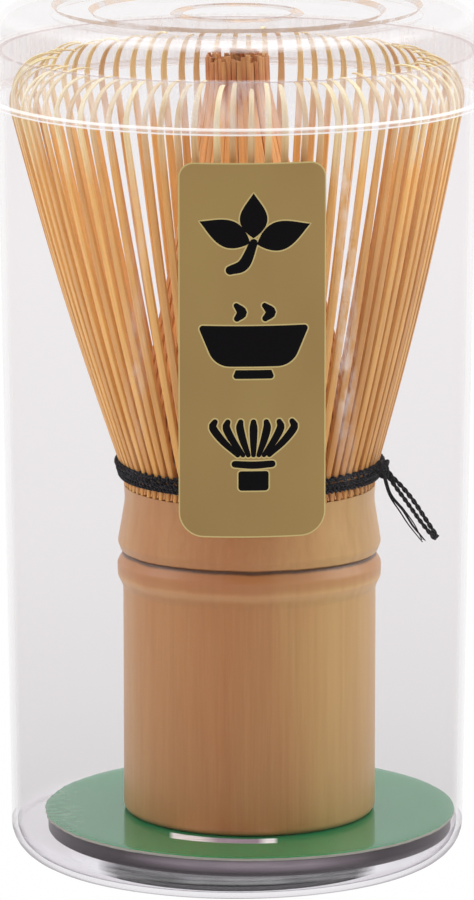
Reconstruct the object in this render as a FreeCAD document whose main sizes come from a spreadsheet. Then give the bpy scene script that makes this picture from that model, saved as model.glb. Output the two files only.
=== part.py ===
import FreeCAD, Part
import math
import os
import Sketcher
from FreeCAD import Placement, Rotation, Vector

# A bamboo tea whisk that stands in its clear lidded case, in millimetres, +Z up and -Y to the front.
# The origin is the middle of the case's foot, on the surface that the case stands on.
# The culm stands a little off the case's middle, and the case's wall centres the tips of its prongs again.

SIZES = [
    # the clear case: a drafted cup with a raised floor
    ("foot_radius", 34.2, "outer radius of the cup at its foot"),
    ("rim_radius", 35.8, "outer radius of the cup at its rim"),
    ("cup_height", 122.8, "height of the rim"),
    ("cup_wall", 0.9, "wall of the cup"),
    ("foot_corner", 5.0, "outer rounding of the foot"),
    ("floor_radius", 26.2, "outer radius of the step that carries the floor"),
    ("floor_height", 3.5, "top of the raised floor"),
    # the lid
    ("skirt_radius", 37.1, "outer radius of the lid's skirt"),
    ("lid_wall", 1.0, "wall of the lid"),
    ("lid_neck", 36.4, "outer radius of the lid above the rim"),
    ("lid_bottom", 115.2, "lower edge of the skirt"),
    ("lid_top", 129.4, "top of the lid"),
    ("lid_shoulder", 4.5, "outer rounding between the lid's side and its top"),
    ("lid_gap", 0.3, "clearance between the lid's ledge and the rim"),
    ("bead_width", 0.35, "how far the bead on the skirt's edge stands out"),
    ("bead_height", 1.0, "height of that bead"),
    ("ring_one", 27.0, "radius of the outer step in the lid's top"),
    ("ring_two", 21.5, "radius of the inner step"),
    ("ring_depth", 0.7, "depth of each step"),
    ("ring_slope", 0.5, "how much wider each step is at its top"),
    # the card and the label
    ("card_radius", 31.2, "radius of the green card"),
    ("card_thick", 3.0, "thickness of the card with the board under it"),
    ("card_sheet", 0.4, "thickness of the card alone"),
    ("board_radius", 30.6, "radius of the board under the card"),
    ("label_width", 21.4, "width of the label, seen from the front"),
    ("label_bottom", 55.8, "lower edge of the label"),
    ("label_height", 55.3, "height of the label"),
    ("label_shift", 2.2, "how far the label is stuck to the right"),
    ("label_thick", 0.1, "thickness of the label"),
    ("label_glue", 0.02, "thickness of the glue under the label"),
    ("label_upper", 2.3, "rounding of the label's upper corners"),
    ("label_lower", 3.6, "rounding of the label's lower corners"),
    # the culm, which is the handle: its heights are from its own foot
    ("whisk_shift", 1.9, "how far the whisk stands to the right of the case's middle"),
    ("culm_radius", 19.1, "outer radius of the culm"),
    ("culm_bore", 15.2, "radius of its hollow"),
    ("knuckle_radius", 19.9, "outer radius of the two swellings at the node"),
    ("groove_radius", 19.2, "outer radius in the groove between them"),
    ("groove_height", 39.6, "height of the groove"),
    ("ridge_rise", 5.8, "how far under the groove the lower swelling begins"),
    ("ridge_drop", 3.2, "how far under the groove the lower swelling is widest"),
    ("upper_rise", 1.4, "how far above the groove the upper swelling is widest"),
    ("culm_edge", 0.6, "rounding of the culm's lower edge"),
    ("neck_drop", 2.3, "how far under the split the neck is narrowest"),
    ("mouth_depth", 4.0, "depth of the taper inside the culm's mouth"),
    ("septum_thick", 2.4, "thickness of the wall that closes the culm at its node"),
    ("neck_radius", 18.8, "outer radius just under the split"),
    ("root_radius", 18.95, "outer radius where the prongs are split"),
    ("root_height", 50.3, "height where the prongs are split"),
    ("root_thick", 1.0, "thickness of a prong at its root"),
    ("root_slit", 0.05, "gap between the culm and a prong's foot"),
    # the prongs
    ("outer_width", 0.72, "width of an outer prong"),
    ("inner_width", 0.4, "width of an inner prong"),
    ("prong_step", 4.3, "angle between neighbouring prongs of one part"),
    ("waist_height", 51.6, "height up to which the outer prongs stand straight"),
    ("waist_round", 6.0, "rounding where they begin to lean out"),
    ("spread_radius", 33.6, "radius of the circle that the outer prongs spread to"),
    ("curl_height", 113.3, "height of the corner that the curl of the tips rounds off"),
    ("curl_over", 1.5, "how far that corner stands outside the spread"),
    ("curl_round", 6.8, "radius of the curl"),
    ("curl_thick", 0.36, "thickness of an outer prong in its curl"),
    ("tip_height", 115.8, "height of the tips"),
    ("tip_reach", 6.5, "how far the tips reach in"),
    ("core_height", 115.7, "height of the inner prongs' tops"),
    ("core_neck", 6.5, "height of the core's straight part"),
    ("core_radius", 4.55, "radius of the core's outer layer at its top"),
    ("core_step", 0.8, "distance between its two layers at its top"),
    # the thread
    ("thread_width", 0.84, "diameter of the thread"),
    ("thread_height", 52.1, "height of the lowest turn"),
    ("thread_pitch", 0.82, "height between turns"),
    ("thread_radius", 19.58, "radius of the lowest turn"),
    ("thread_flare", 0.26, "how much wider each turn is than the one below"),
    ("band_radius", 20.75, "radius just outside the turns"),
    ("knot_radius", 1.5, "radius of the knot"),
    ("knot_height", 54.1, "height of the knot"),
    ("long_end", 1.2, "diameter of the thread's longer end"),
    ("short_end", 0.75, "diameter of its shorter end"),
]

SECTORS = 16  # the culm is split into this many parts, and each of them into outer and inner prongs
PRONGS = 5  # outer prongs in each part, and as many inner ones
TURNS = 3  # turns of the thread

# Bearing of the knot from the whisk's axis, 69 degrees round from the front.
KNOT_ANGLE = -21
# The ends' routes begin at the knot and are in the case's frame.
LONG_ROUTE = [
    (22.9, -8.0, 59.4),
    (24.6, -8.2, 57.4),
    (26.4, -8.1, 55.0),
    (28.1, -8.3, 52.5),
    (29.9, -8.4, 50.0),
]
SHORT_ROUTE = [
    (22.05, -8.75, 59.45),
    (22.9, -9.8, 56.9),
    (24.6, -10.3, 54.6),
    (26.2, -10.8, 52.3),
    (27.9, -11.0, 50.0),
]


def make_sheet(doc):
    """The spreadsheet of driving dimensions, and a function that reads one of them."""
    sheet = doc.addObject("Spreadsheet::Sheet", "sizes")
    for row, (name, value, meaning) in enumerate(SIZES, start=1):
        sheet.set(f"A{row}", meaning)
        sheet.set(f"B{row}", str(value))
        sheet.setAlias(f"B{row}", name)
    doc.recompute()
    return lambda name: float(sheet.get(name))


def origin_part(body, role):
    return next(f for f in body.Origin.OriginFeatures if f.Role == role)


def pin(sketch, geometry, end, across, up):
    """Ties a point of the sketch to a place. Its coordinates are expressions. "0" puts it on an axis."""
    for kind, expression, axis in (("DistanceX", across, -2), ("DistanceY", up, -1)):
        if expression == "0":
            sketch.addConstraint(Sketcher.Constraint("PointOnObject", geometry, end, axis))
        else:
            value = float(sketch.evalExpression(expression))
            number = sketch.addConstraint(Sketcher.Constraint(kind, -1, 1, geometry, end, value))
            sketch.setExpression(f"Constraints[{number}]", expression)


def round_corner(sketch, corner, enter, leave, radius):
    """Adds the arc from enter to leave that rounds a corner. Returns its number and its ends' numbers."""
    inward = (enter + leave) / 2 - corner
    distance = math.hypot(radius, (enter - corner).Length)
    centre = corner + inward.normalize() * distance
    angles = [math.atan2((p - centre).y, (p - centre).x) for p in (enter, leave)]
    turns_left = (angles[1] - angles[0]) % (2 * math.pi) < math.pi
    circle = Part.Circle(centre, Vector(0, 0, 1), radius)
    start, end = angles if turns_left else reversed(angles)
    arc = sketch.addGeometry(Part.ArcOfCircle(circle, start, end))
    return arc, (1, 2) if turns_left else (2, 1)


def outline(body, corners):
    """A closed sketch on the XZ plane. A corner is (across, up) or (across, up, radius), as expressions."""
    sketch = body.newObject("Sketcher::SketchObject", body.Name + "_outline")
    sketch.AttachmentSupport = (origin_part(body, "XZ_Plane"), "")
    sketch.MapMode = "FlatFace"
    count = len(corners)
    at = [Vector(*(float(sketch.evalExpression(e)) for e in corner[:2]), 0) for corner in corners]
    enters, leaves = [], []
    for i, corner in enumerate(corners):
        to_last, to_next = at[i - 1] - at[i], at[(i + 1) % count] - at[i]
        radius = float(sketch.evalExpression(corner[2])) if len(corner) == 3 else 0
        cut = radius / math.tan(to_last.getAngle(to_next) / 2)
        enters.append(at[i] + to_last.normalize() * cut)
        leaves.append(at[i] + to_next.normalize() * cut)
    for i in range(count):
        sketch.addGeometry(Part.LineSegment(leaves[i], enters[(i + 1) % count]))
    for i, corner in enumerate(corners):
        last = (i - 1) % count
        if len(corner) == 2:
            sketch.addConstraint(Sketcher.Constraint("Coincident", last, 2, i, 1))
            pin(sketch, i, 1, *corner)
            continue
        radius = float(sketch.evalExpression(corner[2]))
        arc, (first_end, second_end) = round_corner(sketch, at[i], enters[i], leaves[i], radius)
        point = sketch.addGeometry(Part.Point(at[i]), True)
        sketch.addConstraint(Sketcher.Constraint("Tangent", last, 2, arc, first_end))
        sketch.addConstraint(Sketcher.Constraint("Tangent", i, 1, arc, second_end))
        sketch.addConstraint(Sketcher.Constraint("PointOnObject", point, 1, last))
        sketch.addConstraint(Sketcher.Constraint("PointOnObject", point, 1, i))
        pin(sketch, point, 1, *corner[:2])
        number = sketch.addConstraint(Sketcher.Constraint("Radius", arc, radius))
        sketch.setExpression(f"Constraints[{number}]", corner[2])
    return sketch


def new_body(doc, label):
    body = doc.addObject("PartDesign::Body", label)
    body.Label = label
    return body


def turned(doc, label, corners):
    """A body made by turning an outline about Z."""
    body = new_body(doc, label)
    sketch = outline(body, corners)
    turn = body.newObject("PartDesign::Revolution", label + "_turn")
    turn.Profile = sketch
    turn.ReferenceAxis = (sketch, ["V_Axis"])
    turn.Angle = 360
    return body


def make_cup(doc):
    """The case's cup. A step round its foot carries the floor."""
    slope = "(sizes.rim_radius - sizes.foot_radius) / sizes.cup_height"
    return turned(doc, "case_cup", [
        ("0", "sizes.floor_height - sizes.cup_wall"),
        ("sizes.floor_radius - sizes.cup_wall", "sizes.floor_height - sizes.cup_wall"),
        ("sizes.floor_radius - sizes.cup_wall", "0"),
        ("sizes.foot_radius", "0", "sizes.foot_corner"),
        ("sizes.rim_radius", "sizes.cup_height"),
        ("sizes.rim_radius - sizes.cup_wall", "sizes.cup_height"),
        (
            f"sizes.foot_radius - sizes.cup_wall + {slope} * sizes.cup_wall",
            "sizes.cup_wall",
            "sizes.foot_corner - sizes.cup_wall",
        ),
        ("sizes.floor_radius", "sizes.cup_wall"),
        ("sizes.floor_radius", "sizes.floor_height"),
        ("0", "sizes.floor_height"),
    ])


def make_lid(doc):
    """The lid: a cap whose ledge sits over the rim, with a bead round its edge and two steps in its top."""
    skirt_inside = "sizes.skirt_radius - sizes.lid_wall"
    neck_inside = "sizes.lid_neck - sizes.lid_wall"
    bead_outside = "sizes.skirt_radius + sizes.bead_width"
    bead_top = "sizes.lid_bottom + sizes.bead_height"
    ledge = "sizes.cup_height + sizes.lid_gap"
    ledge_top = "sizes.cup_height + sizes.lid_gap + sizes.lid_wall"
    levels = ["sizes.lid_top", "sizes.lid_top - sizes.ring_depth", "sizes.lid_top - 2 * sizes.ring_depth"]
    inside = [level + " - sizes.lid_wall" for level in levels]
    under = "+ sizes.lid_wall * 0.6"
    return turned(doc, "case_lid", [
        (skirt_inside, "sizes.lid_bottom"),
        (bead_outside, "sizes.lid_bottom"),
        (bead_outside, bead_top),
        ("sizes.skirt_radius", bead_top),
        ("sizes.skirt_radius", ledge),
        ("sizes.lid_neck", ledge_top),
        ("sizes.lid_neck", levels[0], "sizes.lid_shoulder"),
        ("sizes.ring_one + sizes.ring_slope", levels[0]),
        ("sizes.ring_one", levels[1]),
        ("sizes.ring_two + sizes.ring_slope", levels[1]),
        ("sizes.ring_two", levels[2]),
        ("0", levels[2]),
        ("0", inside[2]),
        (f"sizes.ring_two {under}", inside[2]),
        (f"sizes.ring_two + sizes.ring_slope {under}", inside[1]),
        (f"sizes.ring_one {under}", inside[1]),
        (f"sizes.ring_one + sizes.ring_slope {under}", inside[0]),
        (neck_inside, inside[0], "sizes.lid_shoulder - sizes.lid_wall"),
        (neck_inside, ledge),
        (skirt_inside, ledge),
    ])


def make_card(doc):
    """The green card on its board, lying on the case's floor under the whisk."""
    under_card = "sizes.floor_height + sizes.card_thick - sizes.card_sheet"
    card = turned(doc, "base_card", [
        ("0", "sizes.floor_height"),
        ("sizes.board_radius", "sizes.floor_height"),
        ("sizes.board_radius", under_card),
        ("sizes.card_radius", under_card),
        ("sizes.card_radius", "sizes.floor_height + sizes.card_thick"),
        ("0", "sizes.floor_height + sizes.card_thick"),
    ])
    card.setExpression("Placement.Base.x", "sizes.whisk_shift")
    return card


def make_label(doc):
    """The label on the front of the cup: a rounded rectangle, cut out of a skin as conical as the cup."""
    offsets = {"skin_outside": "sizes.label_glue + sizes.label_thick", "skin_inside": "sizes.label_glue"}
    skins = []
    for name, offset in offsets.items():
        cone = doc.addObject("Part::Cone", name)
        cone.setExpression("Radius1", f"sizes.foot_radius + {offset}")
        cone.setExpression("Radius2", f"sizes.rim_radius + {offset}")
        cone.setExpression("Height", "sizes.cup_height")
        skins.append(cone)
    skin = doc.addObject("Part::Cut", "skin")
    skin.Base, skin.Tool = skins
    blank = new_body(doc, "label_blank")
    sketch = outline(blank, [
        ("0", "0", "sizes.label_lower"),
        ("sizes.label_width", "0", "sizes.label_lower"),
        ("sizes.label_width", "sizes.label_height", "sizes.label_upper"),
        ("0", "sizes.label_height", "sizes.label_upper"),
    ])
    pad = blank.newObject("PartDesign::Pad", "label_pad")
    pad.Profile = sketch
    pad.setExpression("Length", "2 * sizes.rim_radius")
    blank.setExpression("Placement.Base.x", "sizes.label_shift - sizes.label_width / 2")
    blank.setExpression("Placement.Base.z", "sizes.label_bottom")
    label = doc.addObject("Part::Common", "label_sticker")
    label.Label = "label_sticker"
    label.Base = skin
    label.Tool = blank
    return label


def make_culm(doc):
    """The handle: a length of bamboo with its node, hollow above and below the node's septum."""
    culm = turned(doc, "culm_handle", [
        ("sizes.culm_bore", "0"),
        ("sizes.culm_radius", "0", "sizes.culm_edge"),
        ("sizes.culm_radius", "sizes.groove_height - sizes.ridge_rise", "4"),
        ("sizes.knuckle_radius", "sizes.groove_height - sizes.ridge_drop", "2"),
        ("sizes.groove_radius", "sizes.groove_height"),
        ("sizes.knuckle_radius", "sizes.groove_height + sizes.upper_rise", "1"),
        ("sizes.neck_radius", "sizes.root_height - sizes.neck_drop", "8"),
        ("sizes.root_radius", "sizes.root_height"),
        ("sizes.root_radius - sizes.root_thick - 0.5", "sizes.root_height"),
        ("sizes.culm_bore", "sizes.root_height - sizes.mouth_depth"),
        ("sizes.culm_bore", "sizes.groove_height + sizes.septum_thick / 2", "2"),
        ("0", "sizes.groove_height + sizes.septum_thick / 2 - 0.6"),
        ("0", "sizes.groove_height - sizes.septum_thick / 2 - 0.6"),
        ("sizes.culm_bore", "sizes.groove_height - sizes.septum_thick / 2", "2"),
    ])
    culm.setExpression("Placement.Base.x", "sizes.whisk_shift")
    culm.setExpression("Placement.Base.z", "sizes.floor_height + sizes.card_thick")
    return culm


def row_of_prongs(body, name, corners, width, first, stride, count):
    """Adds a row of prongs to the body: a side view padded to its width, and repeated round Z.

    The row starts at the part's prong number first, and its prongs are stride numbers apart.
    """
    sketch = outline(body, corners)
    sketch.AttachmentOffset = Placement(Vector(), Rotation(Vector(0, 1, 0), 0))
    sketch.setExpression("AttachmentOffset.Rotation.Angle", f"{first} deg * sizes.prong_step")
    pad = body.newObject("PartDesign::Pad", f"{body.Name}_{name}")
    pad.Profile = sketch
    pad.SideType = "Symmetric"
    pad.setExpression("Length", width)
    row = body.newObject("PartDesign::PolarPattern", f"{body.Name}_{name}_row")
    row.Originals = [pad]
    row.Axis = (origin_part(body, "Z_Axis"), [""])
    row.setExpression("Angle", f"{stride * (count - 1)} deg * sizes.prong_step")
    row.Occurrences = count
    body.Tip = row


def on_whisk(size, angle):
    """The place of a part of the split culm: the culm's own place, turned to the angle."""
    foot = Vector(size("whisk_shift"), 0, size("floor_height") + size("card_thick"))
    return Placement(foot, Rotation(Vector(0, 0, 1), angle))


def make_outer_prongs(doc, size, sector):
    """One part's outer prongs. They stand up through the thread, lean out and curl in at their tips."""
    angle = sector * 360 / SECTORS
    across_shift = f"sizes.whisk_shift * sin({angle} deg)"
    along_shift = f"sizes.whisk_shift * cos({angle} deg)"
    spread = f"(sqrt(sizes.spread_radius ^ 2 - ({across_shift}) ^ 2) - {along_shift})"
    inside = "sizes.root_radius - sizes.root_thick"
    foot = "sizes.root_height + sizes.root_slit"
    body = new_body(doc, f"outer_prongs_{sector + 1:02d}")
    body.AllowCompound = True
    corners = [
        (inside, foot),
        ("sizes.root_radius", foot),
        ("sizes.root_radius", "sizes.waist_height", "sizes.waist_round"),
        (
            f"{spread} + sizes.curl_over + 0.6 * sizes.curl_thick",
            "sizes.curl_height + 0.3 * sizes.curl_thick",
            "sizes.curl_round + sizes.curl_thick / 2",
        ),
        (f"{spread} - sizes.tip_reach", "sizes.tip_height + sizes.curl_thick / 3"),
        (f"{spread} - sizes.tip_reach", "sizes.tip_height - sizes.curl_thick / 3"),
        (
            f"{spread} + sizes.curl_over - 0.6 * sizes.curl_thick",
            "sizes.curl_height - 0.3 * sizes.curl_thick",
            "sizes.curl_round - sizes.curl_thick / 2",
        ),
        (inside, "sizes.waist_height + 0.3", "sizes.waist_round"),
    ]
    row_of_prongs(body, "prong", corners, "sizes.outer_width", 0, 1, PRONGS)
    body.Placement = on_whisk(size, angle - size("prong_step") * (PRONGS - 1) / 2)
    return body


def make_inner_prongs(doc, size, sector):
    """One part's inner prongs. They lean in to a core of two layers, with its top in the case's middle."""
    angle = sector * 360 / SECTORS
    # the whole cone of inner prongs leans to the left, so its feet start lower on the right
    slope = "sizes.whisk_shift / (sizes.core_height - sizes.root_height)"
    foot = f"sizes.root_height + 3 * sizes.root_slit - {slope} * sizes.root_radius * cos({angle} deg)"
    body = new_body(doc, f"inner_prongs_{sector + 1:02d}")
    body.AllowCompound = True
    for i, count in enumerate((PRONGS - PRONGS // 2, PRONGS // 2)):
        layer = (i + sector) % 2  # the layers take turns all round the core
        top = f"sizes.core_radius - {layer} * sizes.core_step"
        corners = [
            ("sizes.root_radius - 0.95 * sizes.root_thick", foot),
            ("sizes.root_radius - 0.05 * sizes.root_thick", foot),
            (f"{top} + 0.3 * sizes.root_thick", "sizes.core_height - sizes.core_neck"),
            (f"{top} + 0.18 * sizes.root_thick", "sizes.core_height"),
            (f"{top} - 0.18 * sizes.root_thick", "sizes.core_height"),
            (f"{top} - 0.2 * sizes.root_thick", "sizes.core_height - sizes.core_neck"),
        ]
        row_of_prongs(body, f"layer_{layer}", corners, "sizes.inner_width", i, 2, count)
    place = on_whisk(size, angle - size("prong_step") * (PRONGS - 2) / 2)
    lean = math.degrees(math.atan(size("whisk_shift") / (size("core_height") - size("root_height"))))
    root_centre = place.Base + Vector(0, 0, size("root_height"))
    body.Placement = Placement(Vector(), Rotation(Vector(0, 1, 0), -lean), root_centre) * place
    return body


def make_turns(doc):
    """The turns of thread round the outer prongs, one above the other."""
    rings = []
    for turn in range(TURNS):
        ring = doc.addObject("Part::Torus", f"thread_turn_{turn + 1}")
        ring.setExpression("Radius1", f"sizes.thread_radius + {turn} * sizes.thread_flare")
        ring.setExpression("Radius2", "sizes.thread_width / 2")
        height = f"sizes.thread_height + {turn} * sizes.thread_pitch"
        ring.setExpression("Placement.Base.x", "sizes.whisk_shift")
        ring.setExpression("Placement.Base.z", f"sizes.floor_height + sizes.card_thick + {height}")
        rings.append(ring)
    wrap = doc.addObject("Part::Compound", "thread_wrap")
    wrap.Label = "thread_wrap"
    wrap.Links = rings
    return wrap


def knot_middle(size):
    outward = Vector(math.cos(math.radians(KNOT_ANGLE)), math.sin(math.radians(KNOT_ANGLE)), 0)
    height = size("floor_height") + size("card_thick") + size("knot_height")
    return Vector(size("whisk_shift"), 0, height) + outward * size("band_radius")


def make_knot(doc, size):
    """The knot, whose back lies against the turns."""
    bead = doc.addObject("Part::Sphere", "knot_bead")
    bead.setExpression("Radius", "sizes.knot_radius")
    bead.Placement.Base = knot_middle(size)
    turns = doc.addObject("Part::Cylinder", "knot_seat")
    turns.setExpression("Radius", "sizes.band_radius")
    turns.setExpression("Height", "sizes.cup_height")
    turns.setExpression("Placement.Base.x", "sizes.whisk_shift")
    knot = doc.addObject("Part::Cut", "thread_knot")
    knot.Label = "thread_knot"
    knot.Base, knot.Tool = bead, turns
    return knot


def round_tube(points, radius):
    """A round tube along straight runs and the arcs between them, its length, and the arcs' radii."""
    edges, bends, start = [], [], points[0]
    for before, corner, after in zip(points, points[1:], points[2:]):
        back, on = before - corner, after - corner
        half = back.getAngle(on) / 2
        cut = 0.45 * min(back.Length, on.Length)
        bend = cut * math.tan(half)
        enter, leave = corner + back.normalize() * cut, corner + on.normalize() * cut
        middle = corner + (back + on).normalize() * (bend / math.sin(half) - bend)
        edges.append(Part.LineSegment(start, enter).toShape())
        edges.append(Part.Arc(enter, middle, leave).toShape())
        bends.append(round(bend, 1))
        start = leave
    edges.append(Part.LineSegment(start, points[-1]).toShape())
    path = Part.Wire(edges)
    section = Part.Wire(Part.Circle(points[0], points[1] - points[0], radius).toShape())
    return path.makePipeShell([section], True, False), path.Length, bends


def make_end(doc, label, route, width):
    """One end of the thread, which sticks out of the knot."""
    points = [Vector(*point) for point in route]
    tube, length, bends = round_tube(points, width / 2)
    share = tube.Volume / (math.pi * width**2 / 4 * length)
    print(f"{label}: {length:.1f} mm long, bends {bends}, volume {share:.3f} of section times length")
    end = doc.addObject("Part::Feature", label)
    end.Label = label
    end.Shape = tube
    return end


def check(doc, nodes):
    """Stops if an object failed, or if a node isn't made of valid closed solids."""
    bad = [o.Name for o in doc.Objects if {"Invalid", "Error"} & set(o.State)]
    for node in nodes:
        shape = node.Shape
        if shape.isNull() or not shape.isValid() or not shape.Solids:
            bad.append(node.Label)
        elif not all(solid.isClosed() and solid.Volume > 0 for solid in shape.Solids):
            bad.append(node.Label)
    if bad:
        raise ValueError(f"these did not build: {bad}")


def main():
    doc = FreeCAD.newDocument("tea_whisk")
    size = make_sheet(doc)
    nodes = [make_cup(doc), make_lid(doc), make_card(doc), make_label(doc), make_culm(doc)]
    for sector in range(SECTORS):
        nodes += [make_outer_prongs(doc, size, sector), make_inner_prongs(doc, size, sector)]
    nodes += [
        make_turns(doc),
        make_knot(doc, size),
        make_end(doc, "thread_end_long", LONG_ROUTE, size("long_end")),
        make_end(doc, "thread_end_short", SHORT_ROUTE, size("short_end")),
    ]
    doc.recompute()
    check(doc, nodes)
    os.makedirs("parts", exist_ok=True)
    for node in nodes:
        node.Shape.exportStep(f"parts/{node.Label}.step")
    print(len(nodes), "nodes,", sum(len(node.Shape.Solids) for node in nodes), "solids")


main()
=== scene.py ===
"""A bamboo tea whisk in its clear case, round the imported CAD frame: metres, +Z up and -Y to the front."""

import math
import random

import bmesh
import bpy
import numpy as np
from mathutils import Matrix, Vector


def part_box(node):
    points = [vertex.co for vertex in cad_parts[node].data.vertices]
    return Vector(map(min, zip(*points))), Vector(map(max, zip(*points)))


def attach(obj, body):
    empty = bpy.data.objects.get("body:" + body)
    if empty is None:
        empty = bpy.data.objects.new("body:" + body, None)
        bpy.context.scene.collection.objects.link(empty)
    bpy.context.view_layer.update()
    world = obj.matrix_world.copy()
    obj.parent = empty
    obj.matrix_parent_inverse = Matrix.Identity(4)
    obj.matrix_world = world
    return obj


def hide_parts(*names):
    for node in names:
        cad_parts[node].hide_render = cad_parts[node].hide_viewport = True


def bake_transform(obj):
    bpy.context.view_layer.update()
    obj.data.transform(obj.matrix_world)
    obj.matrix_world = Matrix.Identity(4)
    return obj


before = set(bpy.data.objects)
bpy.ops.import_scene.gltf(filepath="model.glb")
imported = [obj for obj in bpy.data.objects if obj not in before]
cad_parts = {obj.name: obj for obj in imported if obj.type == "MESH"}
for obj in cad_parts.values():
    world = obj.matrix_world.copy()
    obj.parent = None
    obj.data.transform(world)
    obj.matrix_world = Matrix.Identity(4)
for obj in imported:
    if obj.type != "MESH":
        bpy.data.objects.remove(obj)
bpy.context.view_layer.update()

MM = 0.001
rng = random.Random(12)

# Places and sizes, in millimetres, read from the frame


def box_mm(node):
    low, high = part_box(node)
    return low / MM, high / MM


CUP_LOW, CUP_HIGH = box_mm("case_cup")
LID_LOW, LID_HIGH = box_mm("case_lid")
CARD_LOW, CARD_HIGH = box_mm("base_card")
LABEL_LOW, LABEL_HIGH = box_mm("label_sticker")
CULM_LOW, CULM_HIGH = box_mm("culm_handle")
WRAP_LOW, WRAP_HIGH = box_mm("thread_wrap")
KNOT_LOW, KNOT_HIGH = box_mm("thread_knot")
CORE_HIGH = max(box_mm(f"inner_prongs_{i:02d}")[1].z for i in range(1, 17))
SHIFT = (CULM_LOW.x + CULM_HIGH.x) / 2  # the whisk stands this far to the right of the case's middle
FOOT = CULM_LOW.z  # height of the culm's foot
ROOT = CULM_HIGH.z  # height where the prongs are split
RIM = CUP_HIGH.z
RIM_RADIUS = CUP_HIGH.x
SECTORS, PRONGS, PRONG_STEP = 16, 5, 4.3  # parts of the culm, prongs in each, degrees from prong to prong
FOOT_RADIUS = 34.2  # the cup's outer radius at its foot
GROOVE = FOOT + 39.9  # height of the culm's node
NODE_TILT = 0.03  # the node's front is this share of its distance from the axis higher, and its back lower


# Meshes


def new_object(name, verts, faces, material, smooth_angle=35, scale=MM):
    """A mesh object from points in millimetres. Edges sharper than smooth_angle degrees stay sharp."""
    mesh = bpy.data.meshes.new(name)
    mesh.from_pydata([tuple(c * scale for c in v) for v in verts], [], faces)
    mesh.update()
    obj = bpy.data.objects.new(name, mesh)
    bpy.context.scene.collection.objects.link(obj)
    for m in material if isinstance(material, (list, tuple)) else [material]:
        mesh.materials.append(m)
    set_smooth(mesh, smooth_angle)
    return obj


def set_smooth(mesh, angle):
    bm = bmesh.new()
    bm.from_mesh(mesh)
    bmesh.ops.recalc_face_normals(bm, faces=bm.faces)
    limit = math.radians(angle)
    for edge in bm.edges:
        edge.smooth = len(edge.link_faces) != 2 or edge.calc_face_angle(0) < limit
    for face in bm.faces:
        face.smooth = True
    bm.to_mesh(mesh)
    bm.free()


def rounded(outline, steps=6):
    """A closed outline with corners (r, z) or (r, z, radius), and an arc of points for each rounded one."""
    points = []
    count = len(outline)
    at = [Vector(corner[:2]) for corner in outline]
    for i, corner in enumerate(outline):
        if len(corner) == 2:
            points.append(at[i])
            continue
        back, on = (at[i - 1] - at[i]), (at[(i + 1) % count] - at[i])
        half = back.angle(on) / 2
        back.normalize()
        on.normalize()
        centre = at[i] + (back + on).normalized() * (corner[2] / math.sin(half))
        cut = corner[2] / math.tan(half)
        enter, leave = at[i] + back * cut - centre, at[i] + on * cut - centre
        turn = enter.angle_signed(leave)
        for k in range(steps + 1):
            a = -turn * k / steps
            points.append(centre + Vector((
                enter.x * math.cos(a) - enter.y * math.sin(a),
                enter.x * math.sin(a) + enter.y * math.cos(a),
            )))
    return [tuple(p) for p in points]


def turned(name, outline, material, segments=192, centre=0.0, wobble=None, lift=None, slots=None):
    """A closed outline of (r, z) turned about Z.

    wobble(angle, r, z) gives a new r, lift(angle, r, z) a new z, and slots(r, z) a material slot.
    """
    verts, rings = [], []
    for r, z in outline:
        if r < 1e-6:
            rings.append([len(verts)] * segments)
            verts.append((centre, 0, z))
            continue
        rings.append(list(range(len(verts), len(verts) + segments)))
        for k in range(segments):
            a = 2 * math.pi * k / segments
            rr = wobble(a, r, z) if wobble else r
            verts.append((centre + rr * math.cos(a), rr * math.sin(a), lift(a, r, z) if lift else z))
    faces, face_slots = [], []
    count = len(outline)
    for i in range(count):
        this, following = rings[i], rings[(i + 1) % count]
        if outline[i][0] < 1e-6 and outline[(i + 1) % count][0] < 1e-6:
            continue
        middle = [(outline[i][n] + outline[(i + 1) % count][n]) / 2 for n in (0, 1)]
        for k in range(segments):
            j = (k + 1) % segments
            corners = [this[k], this[j], following[j], following[k]]
            faces.append([v for n, v in enumerate(corners) if v not in corners[:n]])
            face_slots.append(slots(*middle) if slots else 0)
    obj = new_object(name, verts, faces, material)
    for polygon, slot in zip(obj.data.polygons, face_slots):
        polygon.material_index = slot
    return obj


def frames(points, closed=False):
    """Tangents and two normals along a line of points, without twist."""
    p = np.array(points, float)
    ahead = np.roll(p, -1, 0) - p
    back = p - np.roll(p, 1, 0)
    if not closed:
        ahead[-1], back[0] = back[-1], ahead[0]
    t = ahead / np.linalg.norm(ahead, axis=1)[:, None] + back / np.linalg.norm(back, axis=1)[:, None]
    t /= np.linalg.norm(t, axis=1)[:, None]
    n = np.zeros_like(t)
    first = np.cross(t[0], [0, 0, 1.0])
    if np.linalg.norm(first) < 0.1:
        first = np.cross(t[0], [1.0, 0, 0])
    n[0] = first / np.linalg.norm(first)
    for i in range(1, len(p)):
        v = n[i - 1] - t[i] * np.dot(n[i - 1], t[i])
        n[i] = v / np.linalg.norm(v)
    return p, t, n, np.cross(t, n)


def tube(points, radius, sides=8, closed=False):
    """Vertices and faces of a round tube. radius is a number or one for each point."""
    p, t, n, b = frames(points, closed)
    radii = np.broadcast_to(np.array(radius, float), (len(p),))
    verts, faces = [], []
    for i in range(len(p)):
        for k in range(sides):
            a = 2 * math.pi * k / sides
            verts.append(tuple(p[i] + radii[i] * (n[i] * math.cos(a) + b[i] * math.sin(a))))
    last = len(p) if closed else len(p) - 1
    for i in range(last):
        for k in range(sides):
            j, m = (k + 1) % sides, (i + 1) % len(p)
            faces.append([i * sides + k, i * sides + j, m * sides + j, m * sides + k])
    if not closed:
        faces.append(list(range(sides))[::-1])
        faces.append(list(range((len(p) - 1) * sides, len(p) * sides)))
    return verts, faces


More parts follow.
